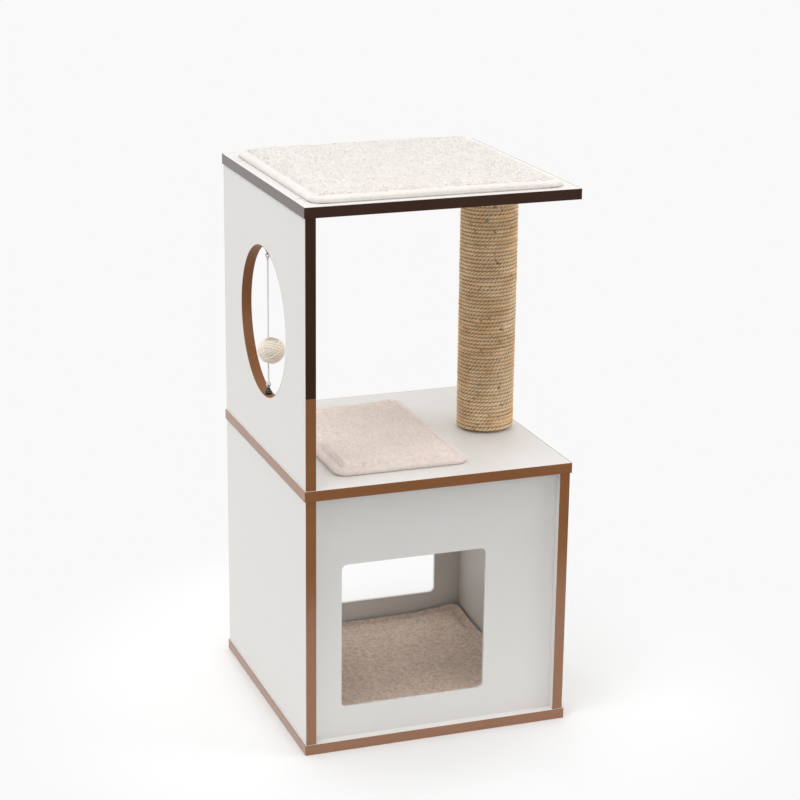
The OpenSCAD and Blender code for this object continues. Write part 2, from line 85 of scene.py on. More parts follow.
# %% [markdown]
# ## Shared shader effects
# Real surfaces are never one flat colour: a board is a little cloudy, cloth is mottled, and an edge
# band has streaks. On wound strands, painted shade darkens the colour between the strands and a painted
# highlight lightens their crests. Three node groups hold these effects, so that each material can place
# them with its own values. A group gives out only colours, masks and heights; the shader itself stays
# in the material.

# %% Node helpers
def place(tree, kind, inputs=None, **settings):
    node = tree.nodes.new(kind)
    for name, value in settings.items():
        setattr(node, name, value)
    for name, value in (inputs or {}).items():
        node.inputs[name].default_value = value
    return node


def new_group(name, inputs, outputs):
    group = bpy.data.node_groups.new(name, "ShaderNodeTree")
    for socket, kind in inputs:
        group.interface.new_socket(socket, in_out="INPUT", socket_type="NodeSocket" + kind)
    for socket, kind in outputs:
        group.interface.new_socket(socket, in_out="OUTPUT", socket_type="NodeSocket" + kind)
    return group, group.nodes.new("NodeGroupInput"), group.nodes.new("NodeGroupOutput")


def vary(group, mask, given):
    """Scales the given colour by 1 + Amount x (mask - 0.5), so that its average stays."""
    centred = place(group, "ShaderNodeMath", operation="SUBTRACT")
    centred.inputs[1].default_value = 0.5
    swing = place(group, "ShaderNodeMath", operation="MULTIPLY_ADD")
    swing.inputs[2].default_value = 1.0
    shaded = place(group, "ShaderNodeVectorMath", operation="SCALE")
    link = group.links.new
    link(mask, centred.inputs[0])
    link(centred.outputs[0], swing.inputs[0])
    link(given.outputs["Amount"], swing.inputs[1])
    link(given.outputs["Color"], shaded.inputs[0])
    link(swing.outputs[0], shaded.inputs["Scale"])
    return shaded.outputs[0]


print("node helpers ready")

# %% A cloudy tone
tone, tone_in, tone_out = new_group(
    "cloudy_tone",
    [("Vector", "Vector"), ("Color", "Color"), ("Scale", "Float"), ("Amount", "Float")],
    [("Color", "Color"), ("Mask", "Float")])
cloud = place(tone, "ShaderNodeTexNoise", {"Detail": 4.0, "Roughness": 0.6})
tone.links.new(tone_in.outputs["Vector"], cloud.inputs["Vector"])
tone.links.new(tone_in.outputs["Scale"], cloud.inputs["Scale"])
tone.links.new(vary(tone, cloud.outputs[0], tone_in), tone_out.inputs["Color"])
tone.links.new(cloud.outputs[0], tone_out.inputs["Mask"])
print("group:", tone.name)

# %% Streaks along a grain
streaks, streaks_in, streaks_out = new_group(
    "grain_streaks",
    [("Vector", "Vector"), ("Color", "Color"), ("Amount", "Float")],
    [("Color", "Color"), ("Height", "Float")])
stretch = place(streaks, "ShaderNodeMapping", {"Scale": (14.0, 900.0, 900.0)})
lines = place(streaks, "ShaderNodeTexNoise", {"Scale": 1.0, "Detail": 5.0, "Roughness": 0.65})
streaks.links.new(streaks_in.outputs["Vector"], stretch.inputs["Vector"])
streaks.links.new(stretch.outputs[0], lines.inputs["Vector"])
streaks.links.new(vary(streaks, lines.outputs[0], streaks_in), streaks_out.inputs["Color"])
streaks.links.new(lines.outputs[0], streaks_out.inputs["Height"])
print("group:", streaks.name)

# %% Painted shade between strands
# The distance from the winding's centre tells a valley from a crest: the colour is darkened in the
# valleys as painted shade and lightened on the crests as a painted highlight. Axes says which
# directions count: a post is measured across its own axis only, and a ball in all three directions.
valleys, valleys_in, valleys_out = new_group(
    "painted_valley_shade",
    [("Vector", "Vector"), ("Color", "Color"), ("Centre", "Vector"), ("Axes", "Vector"),
     ("Deep", "Float"), ("Crest", "Float"), ("Dark", "Float"), ("Light", "Float")],
    [("Color", "Color")])
offset = place(valleys, "ShaderNodeVectorMath", operation="SUBTRACT")
across = place(valleys, "ShaderNodeVectorMath", operation="MULTIPLY")
distance = place(valleys, "ShaderNodeVectorMath", operation="LENGTH")
depth = place(valleys, "ShaderNodeMapRange")
darkened = place(valleys, "ShaderNodeVectorMath", operation="SCALE")
link = valleys.links.new
link(valleys_in.outputs["Vector"], offset.inputs[0])
link(valleys_in.outputs["Centre"], offset.inputs[1])
link(offset.outputs[0], across.inputs[0])
link(valleys_in.outputs["Axes"], across.inputs[1])
link(across.outputs[0], distance.inputs[0])
link(distance.outputs["Value"], depth.inputs["Value"])
for given, taken in (("Deep", "From Min"), ("Crest", "From Max"), ("Dark", "To Min"),
                     ("Light", "To Max")):
    link(valleys_in.outputs[given], depth.inputs[taken])
link(valleys_in.outputs["Color"], darkened.inputs[0])
link(depth.outputs[0], darkened.inputs["Scale"])
link(darkened.outputs[0], valleys_out.inputs["Color"])
print("group:", valleys.name)

# %% [markdown]
# ## Finishes
# One recipe covers every finish: a base colour, a broad tone drift, a fine speckle, a roughness that
# follows the drift, and a fine relief as bump. Fibres add patches of a second colour, plush adds the
# colour of its pile where the mesh says that pile stands, and edge bands add streaks that follow the
# strip, through its UVs. Numbers that are the same all over, such as sheen, are set on the shader.

# %% The recipe
PATCH_SCALE = 0.7
PATCH_RANGE = {"From Min": 0.38, "From Max": 0.62}


def finish(name, colour, rough, drift, speckle, relief, other=None, pile=None, grain=0.0,
           rough_swing=0.08, **shader):
    """Drift and speckle are (scale, amount), relief is in metres, and pile goes with another colour."""
    material = bpy.data.materials.new(name)
    material.use_nodes = True
    tree = material.node_tree
    link = tree.links.new
    principled = tree.nodes["Principled BSDF"]
    where = place(tree, "ShaderNodeTexCoord")
    broad = place(tree, "ShaderNodeGroup", node_tree=tone)
    fine = place(tree, "ShaderNodeGroup", node_tree=tone)
    broad.inputs["Color"].default_value = (*colour, 1)
    broad.inputs["Scale"].default_value, broad.inputs["Amount"].default_value = drift
    fine.inputs["Scale"].default_value, fine.inputs["Amount"].default_value = speckle
    link(where.outputs["Object"], broad.inputs["Vector"])
    link(where.outputs["Object"], fine.inputs["Vector"])
    link(broad.outputs["Color"], fine.inputs["Color"])
    if other:
        hue = place(tree, "ShaderNodeMix", data_type="RGBA")
        hue.inputs[6].default_value = (*colour, 1)
        hue.inputs[7].default_value = (*other, 1)
        patch = place(tree, "ShaderNodeTexNoise", {"Scale": drift[0] * PATCH_SCALE, "Detail": 3.0})
        sharp = place(tree, "ShaderNodeMapRange", PATCH_RANGE)
        link(where.outputs["Object"], patch.inputs["Vector"])
        link(patch.outputs[0], sharp.inputs["Value"])
        link(sharp.outputs[0], hue.inputs[0])
        link(hue.outputs[2], broad.inputs["Color"])
    painted = fine.outputs["Color"]
    height = fine.outputs["Mask"]
    if pile:
        share = place(tree, "ShaderNodeAttribute", attribute_name="pile")
        nap = place(tree, "ShaderNodeMix", data_type="RGBA")
        nap.inputs[7].default_value = (*pile, 1)
        link(share.outputs["Fac"], nap.inputs[0])
        link(hue.outputs[2], nap.inputs[6])
        link(nap.outputs[2], broad.inputs["Color"])
    if grain:
        wood = place(tree, "ShaderNodeGroup", node_tree=streaks)
        wood.inputs["Amount"].default_value = grain
        link(where.outputs["UV"], wood.inputs["Vector"])
        link(painted, wood.inputs["Color"])
        painted = wood.outputs["Color"]
        height = wood.outputs["Height"]
    link(painted, principled.inputs["Base Color"])
    dull = place(tree, "ShaderNodeMapRange",
                 {"To Min": rough - rough_swing, "To Max": rough + rough_swing})
    link(broad.outputs["Mask"], dull.inputs["Value"])
    link(dull.outputs[0], principled.inputs["Roughness"])
    bump = place(tree, "ShaderNodeBump", {"Strength": 1.0, "Distance": relief})
    link(height, bump.inputs["Height"])
    link(bump.outputs[0], principled.inputs["Normal"])
    for socket, value in shader.items():
        principled.inputs[socket.replace("_", " ")].default_value = value
    return material


print("recipe ready")

# %% Board, edge and metal finishes
white_board = finish("white_board", (0.80, 0.782, 0.758), 0.42, (5, 0.05), (900, 0.03), 0.00003)
brown_edge = finish("brown_edge", (0.300, 0.124, 0.047), 0.18, (9, 0.25), (700, 0.10), 0.00004,
                    grain=0.5, rough_swing=0.03, IOR=1.70)
dark_edge = finish("dark_edge", (0.051, 0.0205, 0.0105), 0.18, (9, 0.25), (700, 0.10), 0.00004,
                   grain=0.5, rough_swing=0.03, IOR=1.70)
# The window's lining is the same brown strip as the edge bands; its darker colour is painted shade of
# the window's inside, and its gloss is lower.
window_edge_painted_shade = finish("window_edge_painted_shade", (0.245, 0.100, 0.039), 0.5, (9, 0.25), (700, 0.10), 0.00004,
                     grain=0.5, Specular_IOR_Level=0.25)
white_cap = finish("white_cap", (0.80, 0.78, 0.76), 0.35, (60, 0.04), (1500, 0.03), 0.00002)
beech = finish("beech", (0.56, 0.37, 0.20), 0.55, (60, 0.20), (900, 0.20), 0.0001)
steel = finish("steel", (0.60, 0.60, 0.61), 0.32, (80, 0.10), (2500, 0.10), 0.00002, Metallic=1.0)
zinc = finish("zinc", (0.55, 0.55, 0.54), 0.40, (60, 0.15), (1500, 0.15), 0.00004, Metallic=1.0)
paper_tube = finish("paper_tube", (0.36, 0.26, 0.16), 0.85, (30, 0.15), (700, 0.15), 0.0001)
black_plastic = finish("black_plastic", (0.014, 0.013, 0.012), 0.38, (90, 0.2), (3000, 0.2), 0.00003)
black_wire = finish("black_wire", (0.012, 0.011, 0.010), 0.34, (90, 0.2), (3000, 0.2), 0.00002)
print("stiff finishes made")

# %% Fibre and fabric finishes
sisal = finish("sisal", (0.87, 0.64, 0.395), 0.80, (55, 0.40), (700, 0.50), 0.0003,
               other=(0.78, 0.52, 0.275), Sheen_Weight=0.15, Sheen_Roughness=0.5)
elastic = finish("elastic", (0.90, 0.90, 0.89), 0.60, (200, 0.1), (2600, 0.25), 0.0002)
ball_strand = finish("ball_strand", (0.89, 0.80, 0.69), 0.90, (90, 0.15), (1400, 0.35), 0.0003,
                     Sheen_Weight=0.3, Sheen_Roughness=0.5)
plush_recipe = dict(rough=0.95, drift=(40, 0.14), relief=0.0003, rough_swing=0.03,
                    Sheen_Weight=0.35, Sheen_Roughness=0.45)
# The three pads are one fabric, so their colours are lit and shaded copies: the top pad's paler cream
# is painted light, and the shelf pad's pinker, darker colours and the floor pad's browner, darker ones
# are painted shade of where they lie, under the top board and inside the den.
top_plush_painted_light = finish("top_plush_painted_light", (0.80, 0.76, 0.71), other=(0.80, 0.77, 0.73), pile=(0.82, 0.78, 0.73),
                   speckle=(230, 0.28), **plush_recipe)
shelf_plush_painted_shade = finish("shelf_plush_painted_shade", (0.80, 0.71, 0.65), other=(0.80, 0.69, 0.64),
                     pile=(0.93, 0.82, 0.745), speckle=(230, 0.48), **plush_recipe)
# The floor pad's strong speckle is painted shade in the pits of its pile and painted light on its
# tufts.
floor_plush_painted_shade = finish("floor_plush_painted_shade", (0.80, 0.68, 0.58), other=(0.80, 0.66, 0.575),
                     pile=(0.92, 0.745, 0.62), speckle=(190, 1.15), **plush_recipe)
foam_cells = finish("foam_cells", (0.76, 0.70, 0.50), 0.9, (40, 0.1), (1400, 0.35), 0.0004)
hook_and_loop = finish("hook_and_loop", (0.70, 0.69, 0.66), 0.85, (80, 0.1), (1600, 0.5), 0.0005)
print("soft finishes made")

# %% [markdown]
# ## Making a piece
# Each piece is a mesh at the origin with its place in its vertices. It rides on a CAD body and says
# which
# CAD nodes it stands for, and those are hidden. Faces are shaded smooth, and edges
# sharper than an angle stay crisp.

# %% Helpers for pieces
def object_from(name, bm):
    mesh = bpy.data.meshes.new(name)
    bm.to_mesh(mesh)
    bm.free()
    made = bpy.data.objects.new(name, mesh)
    scene.collection.objects.link(made)
    return made


def piece_from(name, bm, material, body, slot, *replaced, crisp=20):
    piece = object_from(name, bm)
    piece.data.shade_smooth()
    piece.data.set_sharp_from_angle(angle=math.radians(crisp))
    return join_frame(piece, material, body, slot, *replaced)


def join_frame(piece, material, body, slot, *replaced):
    piece.data.materials.append(material)
    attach(piece, body)
    if replaced:
        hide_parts(*replaced)
    return piece


def round_curve(name, paths, radius, sides, closed=False):
    """A curve object that sweeps a round section along each path."""
    curve = bpy.data.curves.new(name, "CURVE")
    curve.dimensions = "3D"
    curve.bevel_depth = radius
    curve.bevel_resolution = (sides - 4) // 2
    curve.use_fill_caps = True
    for path in paths:
        spline = curve.splines.new("POLY")
        spline.points.add(len(path) - 1)
        spline.use_cyclic_u = closed
        for point, where in zip(spline.points, path):
            point.co = (*where, 1)
    swept = bpy.data.objects.new(name, curve)
    scene.collection.objects.link(swept)
    return swept


def tube_mesh(name, paths, radius, sides=6, closed=False):
    """Sweeps a round section along each path with a curve, and returns the mesh object."""
    guide = round_curve(name + "_guide", paths, radius, sides, closed)
    bpy.context.view_layer.update()
    swept = guide.evaluated_get(bpy.context.evaluated_depsgraph_get())
    mesh = bpy.data.meshes.new_from_object(swept)
    bpy.data.objects.remove(guide)
    mesh.name = name
    mesh.shade_smooth()
    tube = bpy.data.objects.new(name, mesh)
    scene.collection.objects.link(tube)
    return tube


def wire_ring(bm, centre, axis, radius, wire, steps=32, sides=12):
    """A closed wire ring: one round section spun about the axis through the centre."""
    axis = Vector(axis)
    across = axis.orthogonal().normalized()
    turn = Matrix((across, axis.cross(across), axis)).transposed().to_4x4()
    stand = turn @ Matrix.Rotation(math.pi / 2, 4, "X")
    section = bmesh.ops.create_circle(bm, segments=sides, radius=wire)["verts"]
    shift = Matrix.Translation(Vector(centre) + across * radius)
    bmesh.ops.transform(bm, matrix=shift @ stand, verts=section)
    edges = list({e for v in section for e in v.link_edges})
    bmesh.ops.spin(bm, geom=section + edges, cent=centre, axis=axis, angle=2 * math.pi,
                   steps=steps, use_merge=True)


print("helpers ready")

# %% [markdown]
# ## The toy's cord
# A thin elastic cord hangs from a small black anchor in the round window, carries the ball, and is tied
# to a second anchor below it. It is taut, so each stretch is one straight run; a curve with a round
# section is the natural tool. The loops through the rings and the wrapped knots are separate pieces.

# %% The cord's two stretches
TOY_X = -190.5 * MM
CORD_D = 2.4 * MM
UPPER_KNOT_Z = 681.7 * MM
BEAD_Z = 538.4 * MM
LOWER_KNOT_Z = 497.8 * MM
LOWER_END_Z = 534.0 * MM
CORD_STEPS = 23


def straight_cord(name, start_z, end_z):
    route = [(TOY_X, 0, start_z + (end_z - start_z) * i / CORD_STEPS) for i in range(CORD_STEPS + 1)]
    return round_curve(name, [route], CORD_D / 2, sides=12)


upper_cord = join_frame(straight_cord("upper_elastic_cord", UPPER_KNOT_Z, BEAD_Z),
                        elastic, "hanging_cord", "elastic", "upper_cord")
lower_cord = join_frame(straight_cord("lower_elastic_cord", LOWER_KNOT_Z, LOWER_END_Z),
                        elastic, "tether_cord", "elastic", "lower_cord")

# %% Loops and knots
UPPER_LOOP_Z = 685.6 * MM
LOWER_LOOP_Z = 493.9 * MM
LOOP_R = 2.8 * MM
LOOP_WIRE = 1.0 * MM
WRAPS = (-1.2, 0, 1.2)
WRAP_R = 1.5 * MM
WRAP_WIRE = 0.8 * MM
WRAP_LEAN = 0.12
BEAD_R = 2.7 * MM
BEAD_FLATNESS = 0.6


def tied_end(name, body, loop_z, knot_z):
    """The loop through the ring, and three wraps of cord round the knot."""
    bm = bmesh.new()
    wire_ring(bm, (TOY_X, 0, loop_z), (0, 1, 0), LOOP_R, LOOP_WIRE)
    for wrap in WRAPS:
        axis = (0, WRAP_LEAN * wrap, 1)
        wire_ring(bm, (TOY_X, 0, knot_z + wrap * MM), axis, WRAP_R, WRAP_WIRE, steps=20, sides=8)
    bmesh.ops.recalc_face_normals(bm, faces=bm.faces)
    return piece_from(name, bm, elastic, body, "elastic", crisp=80)


upper_tie = tied_end("upper_cord_tie", "hanging_cord", UPPER_LOOP_Z, UPPER_KNOT_Z)
lower_tie = tied_end("lower_cord_tie", "tether_cord", LOWER_LOOP_Z, LOWER_KNOT_Z)
bead_mesh = bmesh.new()
bmesh.ops.create_uvsphere(bead_mesh, u_segments=20, v_segments=12, radius=BEAD_R)
bmesh.ops.scale(bead_mesh, vec=(1, 1, BEAD_FLATNESS), verts=bead_mesh.verts)
bmesh.ops.translate(bead_mesh, vec=(TOY_X, 0, BEAD_Z), verts=bead_mesh.verts)
bead = piece_from("cord_stop_knot", bead_mesh, elastic, "hanging_cord", "elastic", crisp=80)
print("ties:", len(upper_tie.data.polygons), "faces each")

# %% [markdown]
# ## Boards and panels
# The three boards and the panels are flat, laminated chipboard with drilled holes for dowels, screws
# and cam locks. The CAD solids have all of those, so a copy of each is merged, its flat faces are
# dissolved into whole ones, and its sharp edges get a small round, as a real board's edges have.

# %% Softened copies of CAD boards
MERGE_REACH = 0.002 * MM
FLAT_ANGLE = math.radians(0.5)
SHARP_ANGLE = math.radians(40)
BOARD_ROUND = 0.3 * MM


def softened(node, name, material, body, slot, edge, segments=2):
    bm = bmesh.new()
    bm.from_mesh(nodes[node].data)
    bmesh.ops.remove_doubles(bm, verts=bm.verts, dist=MERGE_REACH)
    bmesh.ops.dissolve_limit(bm, angle_limit=FLAT_ANGLE, verts=bm.verts, edges=bm.edges)
    sharp = [e for e in bm.edges if len(e.link_faces) == 2 and e.calc_face_angle() > SHARP_ANGLE]
    bmesh.ops.bevel(bm, geom=sharp, offset=edge, offset_type="OFFSET", affect="EDGES",
                    segments=segments, profile=0.5, material=-1, clamp_overlap=True)
    return piece_from(name, bm, material, body, slot, node)


BOARD_NODES = {
    "base_board": "base_white_board",
    "middle_shelf": "shelf_white_board",
    "top_board": "top_white_board",
    "left_lower_panel": "left_lower_white_panel",
    "right_lower_panel": "right_lower_white_panel",
    "left_upper_panel": "left_upper_white_panel",
    "front_panel": "front_white_panel",
    "back_panel": "back_white_panel",
}
for node, name in BOARD_NODES.items():
    board = softened(node, name, white_board, "carcass", "white_board", BOARD_ROUND)
    print(name, len(board.data.polygons), "faces")

# %% [markdown]
# ## Edge bands
# Every board edge wears a thin strip of brown laminate, glued on and trimmed flush. The top board and
# the upper part of the left panel's edge are nearly black brown, the rest mid brown. Each strip is a
# bevelled bar, and its UVs run along it so that the streaks of the print do too.

# %% Strips
BAND_T = 1.0 * MM
BAND_ROUND = 0.25 * MM


def strip(bm, low, high):
    """One bevelled bar between two corners, with UVs along its length."""
    uv = bm.loops.layers.uv.verify()
    size = Vector(high) - Vector(low)
    along = max(range(3), key=lambda i: size[i])
    cube = bmesh.ops.create_cube(bm, size=1)["verts"]
    bmesh.ops.scale(bm, vec=size, verts=cube)
    bmesh.ops.translate(bm, vec=(Vector(low) + Vector(high)) / 2, verts=cube)
    edges = list({e for v in cube for e in v.link_edges})
    made = bmesh.ops.bevel(bm, geom=edges, offset=BAND_ROUND, offset_type="OFFSET", affect="EDGES",
                           segments=2, profile=0.5, material=-1, clamp_overlap=True)
    faces = {f for v in made["verts"] for f in v.link_faces}
    for face in faces:
        for loop in face.loops:
            spot = loop.vert.co
            loop[uv].uv = (spot[along], spot[(along + 1) % 3] + spot[(along + 2) % 3])


def edge_band(node, name, material, slot, sides):
    """Strips on the front and the back, and on the two sides where a board shows those too."""
    low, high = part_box(node)
    bm = bmesh.new()
    for y0, y1 in ((low.y, low.y + BAND_T), (high.y - BAND_T, high.y)):
        strip(bm, (low.x, y0, low.z), (high.x, y1, high.z))
    if sides:
        for x0, x1 in ((low.x, low.x + BAND_T), (high.x - BAND_T, high.x)):
            strip(bm, (x0, low.y + BAND_T, low.z), (x1, high.y - BAND_T, high.z))
    return piece_from(name, bm, material, "carcass", slot, node)


edge_band("base_edge_band", "base_brown_edge", brown_edge, "brown_edge", sides=True)
edge_band("shelf_edge_band", "shelf_brown_edge", brown_edge, "brown_edge", sides=True)
edge_band("top_edge_band", "top_dark_edge", dark_edge, "dark_edge", sides=True)
edge_band("left_lower_edge_band", "left_lower_brown_edge", brown_edge, "brown_edge", sides=False)
edge_band("right_lower_edge_band", "right_lower_brown_edge", brown_edge, "brown_edge", sides=False)
edge_band("left_upper_brown_band", "left_upper_brown_edge", brown_edge, "brown_edge", sides=False)
edge_band("left_upper_dark_band", "left_upper_dark_edge", dark_edge, "dark_edge", sides=False)
print("edge bands made")

# %% [markdown]
# ## The round window's band
# The round window is lined with the same brown strip, bent into a ring. A small rectangle with rounded
# corners is spun about the window's axis.

# %% Spin the lining
WINDOW_STEPS = 160
low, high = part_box("porthole_edge_band")
window_centre = (low + high) / 2
outer_r = (high.z - low.z) / 2
inner_r = outer_r - BAND_T
bm = bmesh.new()
uv = bm.loops.layers.uv.verify()
profile = bmesh.ops.create_grid(bm, x_segments=1, y_segments=1, size=0.5)["verts"]
bmesh.ops.scale(bm, vec=(high.x - low.x, BAND_T, 1), verts=profile)
bmesh.ops.bevel(bm, geom=profile, offset=BAND_ROUND, offset_type="OFFSET", affect="VERTICES",
                segments=2, profile=0.5, material=-1)
bmesh.ops.rotate(bm, matrix=Matrix.Rotation(math.pi / 2, 3, "X"), verts=bm.verts)
middle_r = (outer_r + inner_r) / 2
bmesh.ops.translate(bm, vec=(window_centre.x, 0, window_centre.z + middle_r), verts=bm.verts)
bmesh.ops.delete(bm, geom=list(bm.faces), context="FACES_ONLY")
bmesh.ops.spin(bm, geom=list(bm.verts) + list(bm.edges), cent=window_centre, axis=(1, 0, 0),
               angle=2 * math.pi, steps=WINDOW_STEPS, use_merge=True)
bmesh.ops.remove_doubles(bm, verts=bm.verts, dist=MERGE_REACH)
bmesh.ops.recalc_face_normals(bm, faces=bm.faces)
for face in bm.faces:
    middle = face.calc_center_median()
    base_angle = math.atan2(middle.y, middle.z - window_centre.z)
    for loop in face.loops:
        spot = loop.vert.co
        angle = math.atan2(spot.y, spot.z - window_centre.z)
        angle += 2 * math.pi * round((base_angle - angle) / (2 * math.pi))
        loop[uv].uv = (angle * inner_r, spot.x)
lining = piece_from("round_window_brown_edge", bm, window_edge_painted_shade, "carcass", "brown_edge",
                    "porthole_edge_band")
print("lining:", len(lining.data.polygons), "faces, clear hole", round(2 * inner_r / MM, 1), "mm")

# %% [markdown]
# ## The toy's anchors and rings
# Two black anchors sit on the lining, each a small foot with a wire eye. A ring links each eye to the
# cord's loop, so the cord can sway both ways. A foot is turned: half its outline, in millimetres from
# the axis and from the lining, is spun about the cord's line. Eyes and rings are bent wire.

# %% Anchors and rings
EYE_R = 2.6 * MM
RING_R = 3.4 * MM
WIRE_R = 0.8 * MM
UPPER_EYE_Z = 693.8 * MM
LOWER_EYE_Z = 485.7 * MM
UPPER_RING_Z = 689.7 * MM
LOWER_RING_Z = 489.8 * MM
UPPER_FOOT = ((0, 0.1), (3.2, 0.1), (3.5, 0.4), (3.1, 1.3), (2.6, 1.6), (0, 1.6))
LOWER_BOSS = ((0, 0.1), (4.4, 0.1), (5.2, 1.0), (5.6, 2.0), (5.45, 2.9), (5.0, 4.0), (4.3, 4.75),
              (3.6, 4.9), (0, 4.9))


def anchor(name, node, turned, rim_z, way, eye_z):
    """A foot turned from a few (radius, height) points above the rim, with a wire eye on it."""
    bm = bmesh.new()
    outline = [bm.verts.new((r * MM, 0, h * MM)) for r, h in turned]
    edges = [bm.edges.new(pair) for pair in zip(outline, outline[1:])]
    bmesh.ops.spin(bm, geom=outline + edges, cent=(0, 0, 0), axis=(0, 0, 1), angle=2 * math.pi,
                   steps=32, use_merge=True)
    bmesh.ops.remove_doubles(bm, verts=bm.verts, dist=MERGE_REACH)
    if way < 0:
        bmesh.ops.rotate(bm, matrix=Matrix.Rotation(math.pi, 3, "X"), verts=bm.verts)
    bmesh.ops.translate(bm, vec=(TOY_X, 0, rim_z), verts=bm.verts)
    wire_ring(bm, (TOY_X, 0, eye_z), (0, 1, 0), EYE_R, WIRE_R)
    bmesh.ops.recalc_face_normals(bm, faces=bm.faces)
    return piece_from(name, bm, black_plastic, "carcass", "black_plastic", node, crisp=50)


def link_ring(name, node, body, ring_z):
    bm = bmesh.new()
    wire_ring(bm, (TOY_X, 0, ring_z), (1, 0, 0), RING_R, WIRE_R)
    bmesh.ops.recalc_face_normals(bm, faces=bm.faces)
    return piece_from(name, bm, black_wire, body, "black_wire", node, crisp=80)


window_top = window_centre.z + inner_r
window_low = window_centre.z - inner_r
anchor("upper_anchor", "upper_eye", UPPER_FOOT, window_top, -1, UPPER_EYE_Z)
anchor("lower_anchor", "lower_eye", LOWER_BOSS, window_low, 1, LOWER_EYE_Z)
link_ring("upper_link_ring", "upper_ring", "upper_link", UPPER_RING_Z)
link_ring("lower_link_ring", "lower_ring", "lower_link", LOWER_RING_Z)
print("anchors at", round(window_top / MM, 1), "and", round(window_low / MM, 1), "mm")

# %% [markdown]
# ## The wound ball
# The ball is wound from soft cotton strand over a core. Bands of three strands lie side by side on
# tilted great circles, so they cross in Vs. All tilts leave a small open cap at both poles: the cord
# enters at the top, and the lower cord swings in the hollow at the bottom.

# %% The ball's core, with its hollow
BALL_Z = 545 * MM
BALL_OFF = 4.5 * MM
BALL_R = 20 * MM
CORE_R = 16.4 * MM
BORE_R = 1.7 * MM
HOLLOW_R = 5.4 * MM
HOLLOW_TOP = 541 * MM
ROD_REACH = 30 * MM
ball_centre = Vector((TOY_X + BALL_OFF, 0, BALL_Z))


def upright_rod(radius, low_z, high_z):
    """A cutting rod on the cord's line."""
    bm = bmesh.new()
    bmesh.ops.create_cone(bm, cap_ends=True, segments=32, radius1=radius, radius2=radius,
                          depth=high_z - low_z)
    bmesh.ops.translate(bm, vec=(TOY_X, 0, (low_z + high_z) / 2), verts=bm.verts)
    return object_from("cutter", bm)


def settle(piece):
    """Replaces a piece's mesh by what its modifiers make of it."""
    bpy.context.view_layer.update()
    done = bpy.data.meshes.new_from_object(piece.evaluated_get(bpy.context.evaluated_depsgraph_get()))
    piece.modifiers.clear()
    piece.data = done


bm = bmesh.new()
bmesh.ops.create_icosphere(bm, subdivisions=4, radius=CORE_R)
bmesh.ops.translate(bm, vec=ball_centre, verts=bm.verts)
core = piece_from("ball_core", bm, ball_strand, "ball", "ball_strand", crisp=50)
rods = [upright_rod(HOLLOW_R, BALL_Z - ROD_REACH, HOLLOW_TOP),
        upright_rod(BORE_R, HOLLOW_TOP - 1 * MM, BALL_Z + ROD_REACH)]
for rod in rods:
    cut = core.modifiers.new("cut", "BOOLEAN")
    cut.operation = "DIFFERENCE"
    cut.object = rod
settle(core)
for rod in rods:
    bpy.data.objects.remove(rod)
print("core faces:", len(core.data.polygons))

# %% The strands
STRAND_R = 1.85 * MM
STRAND_GAP = 3.6 * MM
STRAND_POINTS = 48
STRAND_WAVER = 0.3 * MM
FIRST_BAND_SUNK = 1.7 * MM
BAND_TILTS = (8, 40, 52, 28, 47, 54, 20, 44, 53, 34, 50)
GOLDEN_ANGLE = math.radians(137.5)
lean_to_hollow = Matrix.Rotation(math.asin(BALL_OFF / BALL_R), 3, "Y")
ball_paths = []
for i, tilt in enumerate(BAND_TILTS):
    spun = Matrix.Rotation(i * GOLDEN_ANGLE, 3, "Z")
    turn = lean_to_hollow @ spun @ Matrix.Rotation(math.radians(tilt), 3, "X")
    centre_r = BALL_R - STRAND_R - FIRST_BAND_SUNK * (1 - i / (len(BAND_TILTS) - 1))
    for side in (-1, 0, 1):
        offset = side * STRAND_GAP
        circle_r = math.sqrt(centre_r ** 2 - offset ** 2)
        path = []
        for k in range(STRAND_POINTS):
            a = 2 * math.pi * k / STRAND_POINTS
            waver = STRAND_WAVER * math.sin(3 * a + 2.1 * i + side)
            spot = Vector((circle_r * math.cos(a), circle_r * math.sin(a), offset + waver))
            path.append(ball_centre + turn @ spot)
        ball_paths.append(path)
wound_ball = tube_mesh("wound_ball_strands", ball_paths, STRAND_R, sides=8, closed=True)
join_frame(wound_ball, ball_strand, "ball", "ball_strand", "toy_ball")
print("strands:", len(ball_paths), "faces:", len(wound_ball.data.polygons))

# %% [markdown]
# ## The sisal post
# The post is a paper tube wound with 6 mm sisal rope. The rope is three strands twisted together, so a
# strand is a helix that runs on a helix. The points are worked out by a loop, and noise lets the turns
# wander, swell and twist unevenly, as natural rope does.

# %% Three strands, turn on turn
low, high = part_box("sisal_winding")
POST_X = (low.x + high.x) / 2
ROPE_CENTRE_R = 38.9 * MM
ROPE_D = 5.5 * MM
STRANDS = 3
STRAND_OFF = 1.9 * MM
SISAL_R = 1.7 * MM
LAY = 16.5 * MM
WANDER = 0.6 * MM
BULGE = 1.1 * MM
TWIST_PLAY = 1.0
POINTS_PER_TURN = 96
wind_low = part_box("middle_shelf")[1].z + ROPE_D / 2
wind_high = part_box("top_board")[0].z - ROPE_D / 2
turns = round((wind_high - wind_low) / ROPE_D)
pitch = (wind_high - wind_low) / turns
twists = 2 * math.pi * ROPE_CENTRE_R / LAY


